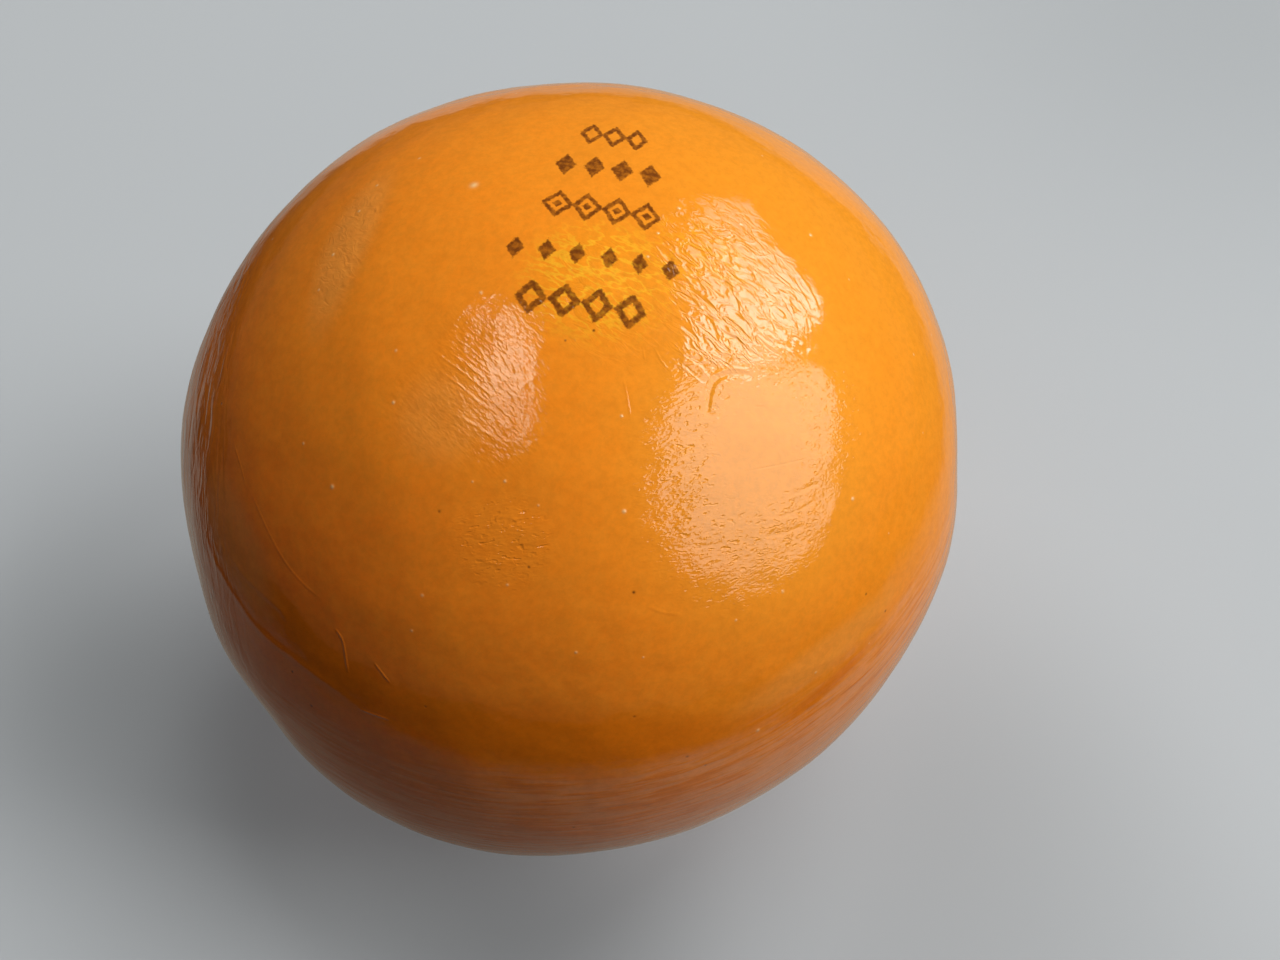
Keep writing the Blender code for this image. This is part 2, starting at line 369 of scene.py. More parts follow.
ROOM_BRIGHTNESS = 0.042

CAMERA_FROM_MIDDLE = (0.0120, -0.1201, 0.1790)
CAMERA_LENS = 30.5
CAMERA_NEAREST = 0.01


def aimed(heading, rise):
    """Unit vector of a heading from +X towards +Y and a rise above level, in degrees."""
    turn, lift = math.radians(heading), math.radians(rise)
    return np.array((math.cos(lift) * math.cos(turn), math.cos(lift) * math.sin(turn), math.sin(lift)))


def unit(vectors):
    """Vectors scaled to a length of 1."""
    return vectors / np.linalg.norm(vectors, axis=-1, keepdims=True)


def rest_depth():
    """How far the flat spot lies below the oval's middle."""
    mean_half = (LONG_HALF + CROSS_HALF) / 2
    return UPRIGHT_HALF * math.sqrt(1 - (REST_RADIUS / mean_half) ** 2)


def cube_ways():
    """Unit vectors of the corners of a cube blown up into a ball, and its quads."""
    steps = np.tan(np.linspace(-math.pi / 4, math.pi / 4, CUBE_SIDE + 1))
    along, across = np.meshgrid(steps, steps, indexing="ij")
    ones = np.ones_like(along)
    sides = []
    for axis in range(3):
        for sign in (1.0, -1.0):
            parts = [along, across]
            parts.insert(axis, ones * sign)
            side = np.stack(parts, axis=-1)
            flips = (sign < 0) != (axis == 1)
            sides.append(side[::-1] if flips else side)
    corners = np.array(sides).reshape(-1, 3)
    keys = np.round(unit(corners) * CORNER_STEPS).astype(np.int64)
    _, first, place = np.unique(keys, axis=0, return_index=True, return_inverse=True)
    place = place.reshape(6, CUBE_SIDE + 1, CUBE_SIDE + 1)
    quads = np.stack((place[:, :-1, :-1], place[:, 1:, :-1], place[:, 1:, 1:], place[:, :-1, 1:]), axis=-1)
    return unit(corners[first]), quads.reshape(-1, 4)


def oval(ways):
    """Points of the plain oval, with its middle at the origin."""
    turn = math.radians(LONG_HEADING)
    along = ways[:, 0] * math.cos(turn) + ways[:, 1] * math.sin(turn)
    across = ways[:, 1] * math.cos(turn) - ways[:, 0] * math.sin(turn)
    along, across = along * LONG_HALF, across * CROSS_HALF
    x = along * math.cos(turn) - across * math.sin(turn)
    y = along * math.sin(turn) + across * math.cos(turn)
    return np.column_stack((x, y, ways[:, 2] * UPRIGHT_HALF))


def swell(ways):
    """Height in metres of all the swells and hollows."""
    height = np.zeros(len(ways))
    for heading, rise, tall, spread in SWELLS:
        away = np.degrees(np.arccos(np.clip(ways @ aimed(heading, rise), -1.0, 1.0)))
        height += tall * np.exp(-(away / spread) ** 2)
    return height


def on_face(across, up):
    """Unit vector of a place on the face."""
    out = math.sqrt(FACE_RADIUS ** 2 - across ** 2 - up ** 2)
    return (across * FACE_RIGHT + up * FACE_UP + out * FACE_OUT) / FACE_RADIUS


def smooth_step(values):
    """0 below 0, 1 above 1, and smooth between."""
    values = np.clip(values, 0.0, 1.0)
    return values * values * (3 - 2 * values)


# ---------------------------------------------------------------- relief of the skin

def waves(ways):
    """Soft unevenness: cosine waves in all directions, the same each run."""
    rng = np.random.default_rng(WAVE_SEED)
    height = np.zeros(len(ways))
    for length, tall in WAVES:
        runs = unit(rng.normal(size=(WAVES_OF_EACH, 3))) * 2 * math.pi * FACE_RADIUS / length
        starts = rng.uniform(0, 2 * math.pi, WAVES_OF_EACH)
        height += tall * math.sqrt(2 / WAVES_OF_EACH) * np.cos(ways @ runs.T + starts).sum(axis=1)
    return height


def zone_strength(ways, rows):
    """How strongly each way lies in one of a zone's patches, from 0 to 1."""
    strength = np.zeros(len(ways))
    for across, up, half_width, half_height, turn, most in rows:
        middle = on_face(across, up)
        right = unit(FACE_RIGHT - middle * (FACE_RIGHT @ middle))
        over = np.cross(middle, right)
        spin = math.radians(turn)
        x, y = ways @ right * FACE_RADIUS, ways @ over * FACE_RADIUS
        along = (x * math.cos(spin) + y * math.sin(spin)) / half_width
        aside = (y * math.cos(spin) - x * math.sin(spin)) / half_height
        away = np.hypot(along, aside) + BEHIND * (ways @ middle < 0)
        inside = smooth_step((1 + ZONE_SOFTNESS - away) / (2 * ZONE_SOFTNESS))
        strength = np.maximum(strength, most * inside)
    return strength


def smooth_route(places):
    """Points, in mm, of a smooth curve through places on the face."""
    knots = np.array([on_face(*place) for place in places])
    padded = np.vstack((2 * knots[0] - knots[1], knots, 2 * knots[-1] - knots[-2]))
    points = []
    for before, start, end, after in zip(padded, padded[1:], padded[2:], padded[3:]):
        for step in np.linspace(0, 1, CREASE_STEPS, endpoint=False):
            bend = (2 * start - 2 * end + (end - before) / 2 + (after - start) / 2) * step ** 3
            bend += (3 * end - 3 * start - (end - before) - (after - start) / 2) * step ** 2
            points.append(start + (end - before) / 2 * step + bend)
    points.append(knots[-1])
    return unit(np.array(points)) * FACE_RADIUS


def crease_field(ways, places, reach):
    """Signed distance in mm of each near way from a crease, and a taper that is 0 at its ends."""
    route = smooth_route(places)
    skin = ways * FACE_RADIUS
    middle = route.mean(axis=0)
    span = np.linalg.norm(route - middle, axis=1).max() + reach
    near = np.flatnonzero(np.linalg.norm(skin - middle, axis=1) < span)
    points = skin[near]
    start, end = route[:-1], route[1:]
    run = end - start
    share = np.einsum("psk,sk->ps", points[:, None] - start, run) / (run ** 2).sum(axis=1)
    share = np.clip(share, 0.0, 1.0)
    offset = points[:, None] - (start + share[..., None] * run)
    away = np.linalg.norm(offset, axis=2)
    best = away.argmin(axis=1)
    rows = np.arange(len(near))
    side = np.cross(run[best], points)
    signed = np.sign((offset[rows, best] * side).sum(axis=1)) * away[rows, best]
    along = (best + share[rows, best]) / len(run)
    taper = smooth_step(np.minimum(along, 1 - along) * CREASE_ENDS)
    taper *= smooth_step((reach - away[rows, best]) / LAYER_FADE - 1.0)
    kept = away[rows, best] < reach
    return near[kept], signed[kept], taper[kept]


def empty_layer(ways):
    """Three numbers for each way: a distance that is far, 0 and 0."""
    blank = np.zeros(len(ways))
    return np.column_stack((blank + LAYER_FAR, blank, blank))


def crease_layers(ways):
    """Layers of creases for the bump, each with signed distance over half width and height; and the
    height in mm that the mesh itself takes."""
    layers = [empty_layer(ways) for _ in range(CREASE_LAYERS)]
    own_height = np.zeros(len(ways))
    for half_width, height, places in CREASES:
        reach = 3 * half_width + 2 * LAYER_FADE
        near, signed, taper = crease_field(ways, places, reach)
        free = [layer for layer in layers if not layer[near, 1].any()]
        layer = free[0] if free else layers[-1]
        layer[near, 0] = signed / half_width
        layer[near, 1] = height * taper
        wide = max(half_width, SKIN_CREASE_WIDTH)
        own_height[near] += height * taper * half_width / wide * np.exp(-(signed / wide) ** 2)
    return layers, own_height


def spot_rows():
    """The placed spots, then scattered ones that keep clear of them."""
    rng = np.random.default_rng(SCATTER_SEED)
    rows = [(on_face(across, up), radius, height) for across, up, radius, height in SPOTS]
    tries = unit(rng.normal(size=(SCATTERED_SPOTS, 3)))
    for way, chance, size in zip(tries, rng.random(SCATTERED_SPOTS), rng.random(SCATTERED_SPOTS)):
        height = BUBBLE_HEIGHT if chance < SCATTERED_BUBBLES else -SPECK_DARKNESS
        if all((way - other) @ (way - other) > (SPOT_APART / FACE_RADIUS) ** 2 for other, _, _ in rows):
            rows.append((way, SCATTERED_RADIUS + SCATTERED_EXTRA_RADIUS * size, height))
    return rows


def spot_layer(ways):
    """For each way its two offsets from the spot near it, over the spot's radius, and the spot's height."""
    layer = empty_layer(ways)
    for middle, radius, height in spot_rows():
        level = unit(np.cross(middle, FACE_UP))
        side = ways @ level * FACE_RADIUS
        over = ways @ np.cross(middle, level) * FACE_RADIUS
        reach = 2 * radius + 2 * LAYER_FADE
        away = np.hypot(side, over)
        near = np.flatnonzero((away < reach) & (ways @ middle > 0))
        layer[near, 0] = side[near] / (radius * SPOT_SIZE)
        layer[near, 1] = over[near] / (radius * SPOT_SIZE)
        layer[near, 2] = height * smooth_step((reach - away[near]) / LAYER_FADE - 1.0)
    return layer


def ball_points(ways, relief):
    """Points of the skin, standing on z = 0: oval, swells and a relief in mm."""
    points = oval(ways)
    points[:, 2] += rest_depth()
    fade = smooth_step(points[:, 2] / REST_FADE)
    points += ways * ((swell(ways) + relief * MM) * fade)[:, None]
    points[:, 2] = np.maximum(points[:, 2], 0.0)
    return points


def new_mesh_object(name, points, faces):
    """A smooth mesh in the scene."""
    mesh = bpy.data.meshes.new(name)
    mesh.from_pydata(points.tolist(), [], faces.tolist())
    mesh.shade_smooth()
    thing = bpy.data.objects.new(name, mesh)
    bpy.context.scene.collection.objects.link(thing)
    return thing


def add_values(thing, name, values):
    """Gives each point of a mesh a number, or three, that its material can read."""
    flat = values.ndim == 1
    place = thing.data.attributes.new(name, "FLOAT" if flat else "FLOAT_VECTOR", "POINT")
    place.data.foreach_set("value" if flat else "vector", values.ravel())


def ball_skin():
    """The visible ball, with the zones, creases and spots that its material reads."""
    ways, quads = cube_ways()
    ways = unit(ways + FACE_OUT * FACE_DENSITY)
    layers, creases = crease_layers(ways)
    points = ball_points(ways, waves(ways) + creases)
    middle = (points.min(axis=0) + points.max(axis=0)) / 2
    points[:, :2] += (np.array(cad_low) + np.array(cad_high))[:2] / 2 - middle[:2]
    thing = new_mesh_object("cheese_ball_skin", points, quads)
    for name, rows in ZONES.items():
        add_values(thing, name, zone_strength(ways, rows))
    for number, layer in enumerate(layers):
        add_values(thing, "crease_%d" % number, layer)
    add_values(thing, "spots", spot_layer(ways))
    return thing


# ---------------------------------------------------------------- material of the coating

class Graph:
    """Adds nodes to a material.  A value is a number, a tuple or another node's output."""

    def __init__(self, material):
        self.nodes = material.node_tree.nodes
        self.links = material.node_tree.links
        self.shader = self.nodes["Principled BSDF"]

    def feed(self, socket, value):
        """Links an output to a socket, or sets the socket to a number or a tuple."""
        if isinstance(value, bpy.types.NodeSocket):
            self.links.new(value, socket)
        else:
            socket.default_value = value

    def node(self, kind, values=(), **settings):
        """A new node with its settings, and with its inputs fed by name or number."""
        made = self.nodes.new("ShaderNode" + kind)
        for key, setting in settings.items():
            setattr(made, key, setting)
        for place, value in dict(values).items():
            self.feed(made.inputs[place], value)
        return made

    def maths(self, operation, *values):
        """A number worked out from numbers."""
        return self.node("Math", enumerate(values), operation=operation).outputs[0]

    def vector(self, operation, *values):
        """A vector, or a number, worked out from vectors."""
        made = self.node("VectorMath", enumerate(values), operation=operation)
        return made.outputs["Value" if operation in ("DOT_PRODUCT", "LENGTH", "DISTANCE") else "Vector"]

    def total(self, values):
        """The sum of a list of values."""
        result = values[0]
        for value in values[1:]:
            result = self.maths("ADD", result, value)
        return result

    def noise(self, place, scale, detail=2.0, roughness=0.5, distortion=0.0):
        """Noise from about -1 to 1."""
        values = {"Vector": place, "Scale": scale, "Detail": detail,
                  "Roughness": roughness, "Distortion": distortion}
        made = self.node("TexNoise", values)
        return self.maths("MULTIPLY_ADD", made.outputs["Fac"], 3.0, -1.5)

    def span(self, value, low, high, to_low=0.0, to_high=1.0):
        """Takes low..high smoothly to to_low..to_high."""
        values = {"Value": value, "From Min": low, "From Max": high, "To Min": to_low, "To Max": to_high}
        return self.node("MapRange", values, interpolation_type="SMOOTHSTEP").outputs["Result"]

    def mix(self, share, first, second):
        """A colour between two."""
        made = self.node("Mix", data_type="RGBA")
        self.feed(made.inputs["Factor"], share)
        self.feed(made.inputs["A"], first)
        self.feed(made.inputs["B"], second)
        return made.outputs["Result"]

    def attribute(self, name, output="Fac"):
        """A value that the mesh holds at each of its points."""
        return self.node("Attribute", attribute_name=name).outputs[output]


def colour(red, green, blue):
    """A full colour value."""
    return (red, green, blue, 1.0)


def new_material(name):
    """A new material, and the graph of its nodes."""
    material = bpy.data.materials.new(name)
    material.use_nodes = True
    return material, Graph(material)


def ball_places(graph):
    """The place on the skin in mm from the ball's middle: as X, Y, Z and as across, up, out of the face."""
    place = graph.node("NewGeometry").outputs["Position"]
    middle = tuple((cad_low + cad_high) / 2)
    place = graph.vector("SCALE", graph.vector("SUBTRACT", place, middle))
    place.node.inputs["Scale"].default_value = 1 / MM
    parts = [graph.vector("DOT_PRODUCT", place, tuple(way)) for way in (FACE_RIGHT, FACE_UP, FACE_OUT)]
    return place, graph.node("CombineXYZ", enumerate(parts)).outputs[0]


def stretched(graph, place, scales, turn=0.0):
    """A place turned back about the Z axis, then scaled along its axes."""
    sizes = tuple(1 / scale for scale in scales)
    values = {"Vector": place, "Rotation": (0.0, 0.0, math.radians(turn)), "Scale": sizes}
    return graph.node("Mapping", values, vector_type="TEXTURE").outputs[0]


def crease_height(graph):
    """Height in mm of all creases: a ridge with a shallow hollow along each side, or the reverse."""
    heights = []
    for number in range(CREASE_LAYERS):
        parts = graph.node("SeparateXYZ", {0: graph.attribute("crease_%d" % number, "Vector")}).outputs
        square = graph.maths("MULTIPLY", parts["X"], parts["X"])
        bell = graph.maths("EXPONENT", graph.maths("MULTIPLY", square, -1.0))
        lips = graph.maths("MULTIPLY_ADD", square, -CREASE_LIPS, 1.0)
        heights.append(graph.maths("MULTIPLY", graph.maths("MULTIPLY", bell, lips), parts["Y"]))
    return graph.total(heights)


def spot_bell(graph):
    """1 at the middle of a spot, 0 away from it; and the spot's height."""
    parts = graph.node("SeparateXYZ", {0: graph.attribute("spots", "Vector")}).outputs
    square = graph.maths("ADD", graph.maths("MULTIPLY", parts["X"], parts["X"]),
                         graph.maths("MULTIPLY", parts["Y"], parts["Y"]))
    return graph.maths("EXPONENT", graph.maths("MULTIPLY", square, -1.0)), parts["Z"]


def low_streaks(graph, place):
    """Thin level streaks, and how much the low band of the skin has of them."""
    upright = graph.node("SeparateXYZ", {0: place}).outputs["Z"]
    ragged = graph.maths("MULTIPLY", graph.noise(place, *LOW_BAND_NOISE), LOW_BAND_RAGGED)
    low = graph.span(graph.maths("ADD", upright, ragged), *LOW_BAND)
    return graph.noise(stretched(graph, place, *LOW_STREAK_STRETCH), *LOW_STREAKS), low


def edge_streaks(graph, face):
    """Broken streaks that run up and down, and how much the left edge of the face has of them."""
    across = graph.node("SeparateXYZ", {0: face}).outputs["X"]
    streaks = graph.noise(stretched(graph, face, *EDGE_STREAK_STRETCH), *EDGE_STREAKS)
    return streaks, graph.span(across, *LEFT_EDGE)


def skin_height(graph, place, face, spots, band, edge):
    """Fine relief in mm for the bump."""
    bell, tall = spots
    calm = graph.maths("MULTIPLY_ADD", graph.attribute("calm"), -CALMING, 1.0)
    pebbled = graph.attribute("pebbled")
    height = [crease_height(graph), graph.maths("MULTIPLY", bell, graph.maths("MAXIMUM", tall, -SPECK_DEPTH))]

    def add(amount, noise, *shares):
        """Adds a noise times the shares, at a height of amount mm."""
        for share in shares:
            noise = graph.maths("MULTIPLY", noise, share)
        height.append(graph.maths("MULTIPLY", noise, amount))

    add(SWALE_HEIGHT, graph.noise(face, *SWALES), calm)
    grains = graph.noise(stretched(graph, face, *GRAIN_STRETCH), *GRAINS)
    grainy = graph.maths("MULTIPLY_ADD", pebbled, 1 - GRAINS_ELSEWHERE, GRAINS_ELSEWHERE)
    add(GRAIN_HEIGHT, grains, grainy, calm)
    pits = graph.maths("MAXIMUM", graph.maths("SUBTRACT", grains, PIT_LEVEL), 0.0)
    add(-PIT_DEPTH, pits, pebbled, calm)
    ridged = graph.maths("ABSOLUTE", graph.noise(stretched(graph, face, *WRINKLE_STRETCH), *WRINKLES))
    add(-WRINKLE_DEPTH, ridged, graph.attribute("wrinkled"))
    combing = graph.noise(stretched(graph, face, *COMBING_STRETCH), *COMBING)
    add(COMBING_HEIGHT, combing, graph.attribute("combed"))
    add(LOW_STREAK_HEIGHT, *band)
    add(EDGE_STREAK_HEIGHT, *edge)
    outward = graph.node("SeparateXYZ", {0: face}).outputs["Z"]
    rim = graph.maths("MULTIPLY", graph.span(outward, *RIM_NEAR), graph.span(outward, *RIM_FAR))
    add(RIM_LUMP_HEIGHT, graph.noise(place, *RIM_LUMPS), rim)
    return graph.total(height)


def mark_distance(graph, shape, x, y, half_width, half_height, half_stroke):
    """Distance in mm outside a mark's strokes."""
    wide, tall = graph.maths("ABSOLUTE", x), graph.maths("ABSOLUTE", y)
    along, aside = graph.maths("DIVIDE", wide, half_width), graph.maths("DIVIDE", tall, half_height)
    ring = graph.maths("ADD", along, aside)
    ring = graph.maths("MULTIPLY", graph.maths("SUBTRACT", ring, 1.0), half_width * MARK_SLANT)
    if shape == "lozenge":
        return ring
    away = graph.maths("SUBTRACT", graph.maths("ABSOLUTE", ring), half_stroke)
    if shape == "target":
        dot = graph.maths("SUBTRACT", graph.maths("ADD", wide, tall), TARGET_DOT)
        away = graph.maths("MINIMUM", away, dot)
    return away


def row_distance(graph, along, over, row):
    """Distance in mm outside the strokes of a row of marks."""
    shape, count, centre, level, spacing, half_width, half_height, half_stroke = row
    steps = graph.maths("DIVIDE", graph.maths("SUBTRACT", along, centre - count * spacing / 2), spacing)
    x = graph.maths("MULTIPLY", graph.maths("SUBTRACT", graph.maths("FRACT", steps), 0.5), spacing)
    y = graph.maths("SUBTRACT", over, level)
    away = mark_distance(graph, shape, x, y, half_width, half_height, half_stroke)
    from_centre = graph.maths("ABSOLUTE", graph.maths("SUBTRACT", steps, count / 2))
    beyond = graph.maths("MULTIPLY", graph.maths("SUBTRACT", from_centre, count / 2), spacing)
    away = graph.maths("MAXIMUM", away, beyond)
    above = graph.maths("SUBTRACT", graph.maths("ABSOLUTE", y), half_height + ROW_MARGIN)
    return graph.maths("MAXIMUM", away, above)


def ink_share(graph, place, face):
    """How much ink covers the skin: five short rows of plain ornaments, worn and uneven."""
    middle = on_face(*MARKS_PLACE)
    turn = math.radians(MARKS_TURN)
    level = math.cos(turn) * FACE_RIGHT + math.sin(turn) * FACE_UP
    level = unit(level - middle * (level @ middle))
    along = graph.vector("DOT_PRODUCT", place, tuple(level))
    over = graph.vector("DOT_PRODUCT", place, tuple(np.cross(middle, level)))
    wobble = graph.maths("MULTIPLY", graph.noise(face, *INK_WOBBLE_NOISE), INK_WOBBLE)
    along = graph.maths("ADD", along, wobble)
    nearest = row_distance(graph, along, over, MARK_ROWS[0])
    for row in MARK_ROWS[1:]:
        nearest = graph.maths("MINIMUM", nearest, row_distance(graph, along, over, row))
    ragged = graph.maths("MULTIPLY", graph.noise(face, *INK_RAGGED_NOISE), INK_RAGGED)
    covered = graph.span(graph.maths("ADD", nearest, ragged), INK_SOFTNESS, -INK_SOFTNESS)
    facing = graph.span(graph.vector("DOT_PRODUCT", place, tuple(middle)), *INK_FACING)
    worn = graph.span(graph.noise(face, *INK_WEAR_NOISE), *INK_WEAR_SPAN, INK_THINNEST, 1.0)
    return graph.maths("MULTIPLY", graph.maths("MULTIPLY", covered, facing), worn)


def orange_with_painted_shade(graph, face):
    """The coating's orange with painted shade and light: deeper and redder towards the shaded lower left of
    the face, paler towards the lit upper right.
    """
    # painted shade: how far a place lies towards the shaded side
    shaded = graph.vector("DOT_PRODUCT", face, SHADED_SIDE_WAY)
    shaded = graph.maths("ADD", shaded, graph.maths("MULTIPLY", graph.noise(face, *CLOUDS), CLOUD_SHIFT))
    base = graph.mix(graph.span(shaded, *LIT_SIDE_TO_ORANGE), colour(*LIT_SIDE_ORANGE), colour(*ORANGE))
    return graph.mix(graph.span(shaded, *ORANGE_TO_SHADED_SIDE), base, colour(*SHADED_SIDE_ORANGE))


def patched(graph, face, base):
    """A colour with the mottled, yellow and hazy patches over it, painted light in the lit patch, and painted
    glints in a web of gold lines.
    """
    lit = graph.maths("MULTIPLY", graph.attribute("lit"), LIT_SHARE)
    base = graph.mix(lit, base, colour(*LIT_COLOUR))
    mottle = graph.span(graph.noise(face, *MOTTLES), *MOTTLE_SPAN, 0.0, MOTTLE_SHARE)
    base = graph.mix(mottle, base, colour(*MOTTLE_COLOUR))
    yellow = graph.attribute("yellow")
    base = graph.mix(graph.maths("MULTIPLY", yellow, YELLOW_SHARE), base, colour(*YELLOW_COLOUR))
    # painted glints: a web of gold lines over the yellow patches
    glint_web = graph.maths("ABSOLUTE", graph.noise(stretched(graph, face, *GOLD_GLINT_STRETCH), *GOLD_GLINT_WEB))
    gold_glints = graph.maths("MULTIPLY", yellow, graph.span(glint_web, *GOLD_GLINT_LINES, 0.0, GOLD_GLINT_SHARE))
    base = graph.mix(gold_glints, base, colour(*GOLD_GLINT_COLOUR))
    haze = graph.maths("MULTIPLY", graph.attribute("hazy"), HAZE_SHARE)
    return graph.mix(haze, base, colour(*HAZE_COLOUR))


def speckled(graph, spots, base):
    """A colour with the dark specks over it, and a painted glint on the bubbles."""
    bell, tall = spots
    dark = graph.maths("MAXIMUM", graph.maths("MULTIPLY", tall, -1.0), 0.0)
    base = graph.mix(graph.maths("MULTIPLY", bell, dark), base, colour(*SPECK_COLOUR))
    # painted glint on each bubble
    pale = graph.maths("MINIMUM", graph.maths("MAXIMUM", tall, 0.0), BUBBLE_GLINT_MOST)
    pale = graph.maths("MULTIPLY", graph.maths("MULTIPLY", bell, pale), BUBBLE_GLINT_STRENGTH)
    return graph.mix(pale, base, colour(*BUBBLE_GLINT_COLOUR))


def streaked(graph, band, edge, base):
    """A colour with the low band's streaks of painted reflection of the floor and of painted shade, and the
    painted shade of dark streaks along the left edge.
    """
    streaks, low = band
    # painted reflection of the floor in pale streaks
    painted_reflection = graph.maths("MULTIPLY", graph.span(streaks, *FLOOR_REFLECTION_STREAKS, 0.0, FLOOR_REFLECTION_SHARE), low)
    base = graph.mix(painted_reflection, base, colour(*FLOOR_REFLECTION_COLOUR))
    # painted shade: a deeper orange where the gloss shows no floor
    clear = graph.maths("MULTIPLY", graph.span(streaks, *CLEAR_SHADE_STREAKS, 0.0, CLEAR_SHADE_SHARE), low)
    patches = graph.maths("MULTIPLY", graph.attribute("clear"), CLEAR_SHADE_ZONE_SHARE)
    base = graph.mix(graph.maths("MAXIMUM", clear, patches), base, colour(*CLEAR_SHADE_COLOUR))
    streaks, left = edge
    # painted shade: dark streaks where the left edge's reflection breaks
    dark = graph.maths("MULTIPLY", graph.span(streaks, *EDGE_SHADE_STREAKS, 0.0, EDGE_SHADE_SHARE), left)
    return graph.mix(dark, base, colour(*EDGE_SHADE_COLOUR))


def coating_material():
    """Glossy orange coating with its patches, ink, specks, streaks and fine relief."""
    material, graph = new_material("orange_coating")
    place, face = ball_places(graph)
    spots, band, edge = spot_bell(graph), low_streaks(graph, place), edge_streaks(graph, face)
    base = patched(graph, face, orange_with_painted_shade(graph, face))
    base = graph.mix(ink_share(graph, place, face), base, colour(*INK_COLOUR))
    base = streaked(graph, band, edge, speckled(graph, spots, base))
    fine = graph.vector("SCALE", base)
    grain = graph.span(graph.noise(face, *FINE_GRAIN), *FINE_GRAIN_SPAN, FINE_GRAIN_DARKEST, 1.0)
    graph.feed(fine.node.inputs["Scale"], grain)
    graph.feed(graph.shader.inputs["Base Color"], fine)
    gloss = graph.span(graph.attribute("hazy"), 0.0, 1.0, ROUGHNESS, HAZY_ROUGHNESS)
    graph.feed(graph.shader.inputs["Roughness"], gloss)
    relief = skin_height(graph, place, face, spots, band, edge)
    bump = graph.node("Bump", {"Strength": 1.0, "Distance": MM, "Height": relief})
    graph.feed(graph.shader.inputs["Normal"], bump.outputs["Normal"])
    return material


# ---------------------------------------------------------------- floor, light and camera

def floor_material():
    """Pale and matt, with painted shadows that make it a little dimmer near the ball and things that stand
    about, and a faint painted glow that lifts its shadows.
    """
    material, graph = new_material("pale_floor")
    place = graph.node("NewGeometry").outputs["Position"]
    light = 1.0
    # painted shadows: the floor's colour and glow are dimmed in patches
    for middle, reach, share in FLOOR_PAINTED_SHADOWS:
        away = graph.vector("DISTANCE", place, middle)
        light = graph.maths("MULTIPLY", light, graph.span(away, 0.0, reach, 1 - share, 1.0))
    sockets = graph.shader.inputs
    graph.feed(sockets["Base Color"], graph.mix(light, colour(0.0, 0.0, 0.0), colour(*FLOOR_COLOUR)))
    # painted fill light: the floor's own glow
    graph.feed(sockets["Emission Strength"], graph.maths("MULTIPLY", light, FLOOR_PAINTED_FILL))
    sockets["Emission Color"].default_value = colour(*FLOOR_PAINTED_FILL_COLOUR)
    sockets["Roughness"].default_value = FLOOR_ROUGHNESS
    sockets["Specular IOR Level"].default_value = FLOOR_SPECULAR
    return material


def glowing_material(name, tint):
    """Shines with the strength held in a mesh's "glow"."""
    material, graph = new_material(name)
    glow = graph.node("Emission", {"Color": colour(*tint), "Strength": graph.attribute("glow")})
    graph.feed(graph.nodes["Material Output"].inputs["Surface"], glow.outputs[0])
    return material


def ring_faces(count, rings):
    """Quads between rings of count points each."""
    around = np.arange(count)
    ahead = (around + 1) % count
    quads = np.column_stack((around, ahead, ahead + count, around + count))
    return np.vstack([quads + ring * count for ring in range(rings - 1)])


def glowing_mesh(name, points, faces, glow, tint):
    """A mesh that shines without being seen by the camera or casting a shadow."""
    thing = new_mesh_object(name, points, faces)
    add_values(thing, "glow", glow)
    thing.data.materials.append(glowing_material(name, tint))
    thing.visible_camera = False
    thing.visible_shadow = False
    return thing


def wide_floor():
    """The floor as the camera sees it."""
    half = FLOOR_HALF
    corners = np.array(((-half, -half, 0), (half, -half, 0), (half, half, 0), (-half, half, 0)))
    seen = new_mesh_object("floor", corners, np.array(((0, 1, 2, 3),)))
    seen.location.z = -FLOOR_DROP
    seen.visible_diffuse = False
    seen.visible_glossy = False
    seen.visible_shadow = False
    seen.data.materials.append(floor_material())
    return seen


def near_floor_reflection():
    """A glowing stand-in for the floor as the ball sees it: rings that shine as brightly as the floor looks
    there, a painted reflection and bounce light with the floor's shade painted in.
    """
    turns = np.arange(-180.0, 180.0, NEAR_FLOOR_STEP)
    headings, reaches, glows = zip(*NEAR_FLOOR_REFLECTION)
    reach = np.interp(turns, headings, reaches)
    glow = np.interp(turns, headings, glows)
    rim_glow = np.interp(turns, *zip(*RIM_FLOOR_REFLECTION))
    ways = np.array([aimed(turn, 0.0) for turn in turns])
    radii = [np.full(len(turns), radius) for radius in RIM_RADII] + [reach * out for out, _ in NEAR_RINGS]
    points = np.vstack([ways * radius[:, None] for radius in radii])
    shine = np.concatenate([rim_glow for _ in RIM_RADII] + [glow * share for _, share in NEAR_RINGS])
    faces = ring_faces(len(turns), len(radii))
    near = glowing_mesh("floor_reflection_near_ball", points, faces, shine, NEAR_FLOOR_TINT)
    near.location.z = -2 * FLOOR_DROP
    return near


def floor():
    """A wide pale floor for the camera, and under it a glowing stand-in, a painted reflection, for the near
    part as the ball sees it.
    """
    seen = wide_floor()
    near = near_floor_reflection()


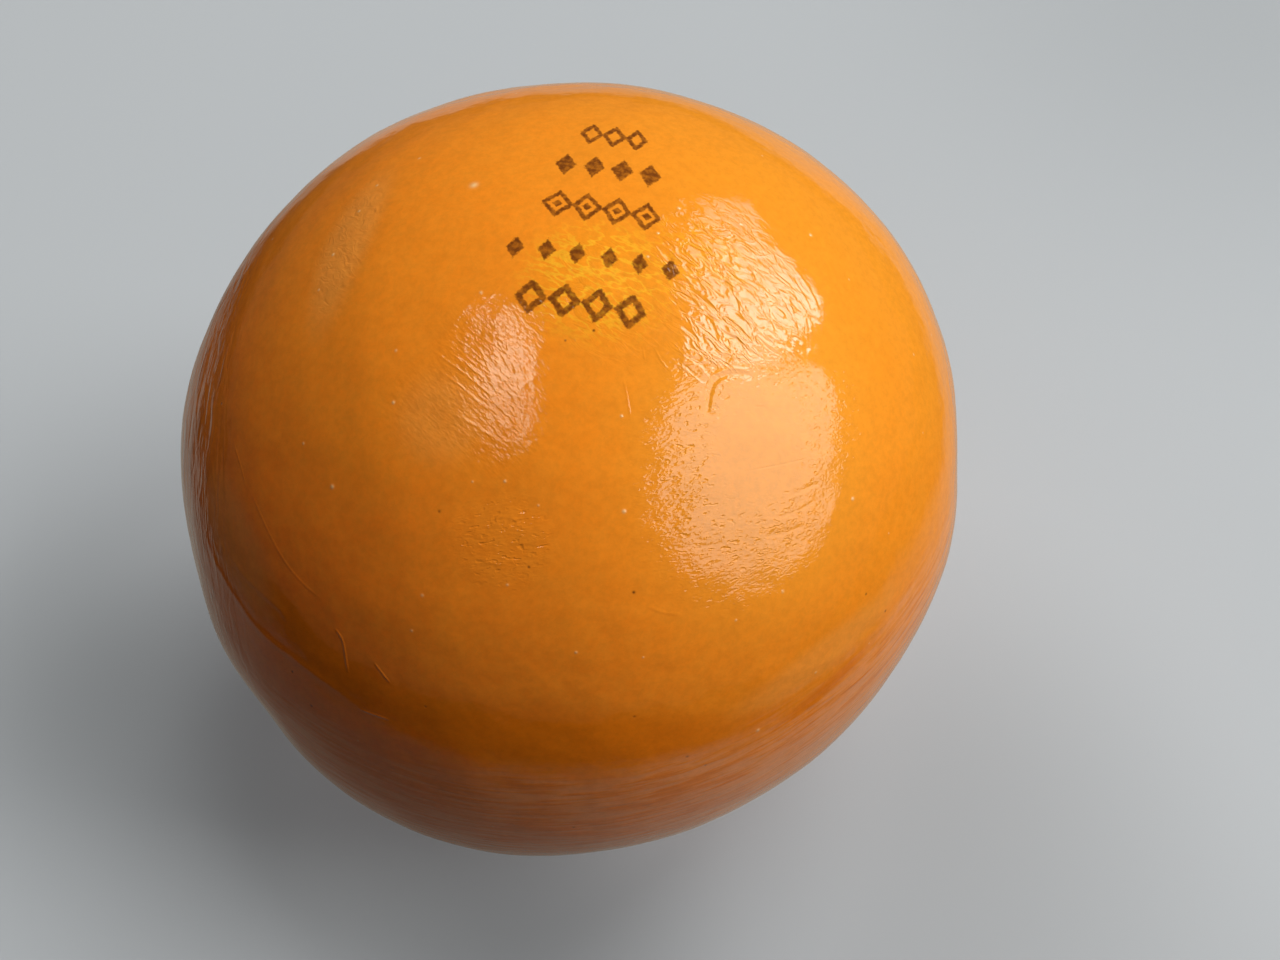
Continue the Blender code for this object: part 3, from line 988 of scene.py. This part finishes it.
def window(name, heading, rise, brightness, grows_right, grows_up, tint, outline):
    """A glowing pane that faces the middle of the ball and shows in its gloss."""
    way = aimed(heading, rise)
    right = unit(np.cross((0.0, 0.0, 1.0), way))
    over = np.cross(way, right)
    middle = np.array((cad_low + cad_high) / 2)
    corners = np.vstack([np.array(outline) * out for out, _ in WINDOW_RINGS])
    points = middle + WINDOW_DISTANCE * (way + corners[:, :1] * right + corners[:, 1:] * over)
    shares = np.repeat([share for _, share in WINDOW_RINGS], len(outline))
    glow = brightness * shares * (1 + grows_right * corners[:, 0] + grows_up * corners[:, 1])
    faces = ring_faces(len(outline), len(WINDOW_RINGS))
    pane = glowing_mesh(name, points, faces, glow, tint)
    pane.visible_diffuse = False


def lamp(name, heading, rise, size, brightness):
    """A soft square lamp that faces the middle of the ball, with a given brightness of its face."""
    light = bpy.data.lights.new(name, "AREA")
    light.shape = "SQUARE"
    light.size = size * LAMP_DISTANCE
    light.energy = brightness * math.pi * light.size ** 2
    thing = bpy.data.objects.new(name, light)
    way = Vector(aimed(heading, rise))
    thing.location = (cad_low + cad_high) / 2 + way * LAMP_DISTANCE
    thing.rotation_euler = (-way).to_track_quat("-Z", "Y").to_euler()
    thing.visible_glossy = False
    bpy.context.scene.collection.objects.link(thing)


def room():
    """A faint even light from all around."""
    world = bpy.data.worlds.new("room")
    bpy.context.scene.world = world
    world.use_nodes = True
    grey = colour(ROOM_BRIGHTNESS, ROOM_BRIGHTNESS, ROOM_BRIGHTNESS)
    world.node_tree.nodes["Background"].inputs["Color"].default_value = grey


def camera():
    """The camera, which looks down at the ball's face."""
    data = bpy.data.cameras.new("camera")
    data.lens = CAMERA_LENS
    data.clip_start = CAMERA_NEAREST
    thing = bpy.data.objects.new("camera", data)
    thing.location = (cad_low + cad_high) / 2 + Vector(CAMERA_FROM_MIDDLE)
    thing.rotation_euler = (math.radians(90.0 - CAMERA_RISE), 0.0, 0.0)
    bpy.context.scene.collection.objects.link(thing)
    bpy.context.scene.camera = thing


# ---------------------------------------------------------------- the scene

skin = ball_skin()
skin.data.materials.append(coating_material())
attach(skin, "root")
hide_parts("cheese_ball")

floor()
for row in WINDOWS:
    window(*row)
for row in LAMPS:
    lamp(*row)
room()
camera()
bpy.context.scene.view_settings.view_transform = "Standard"
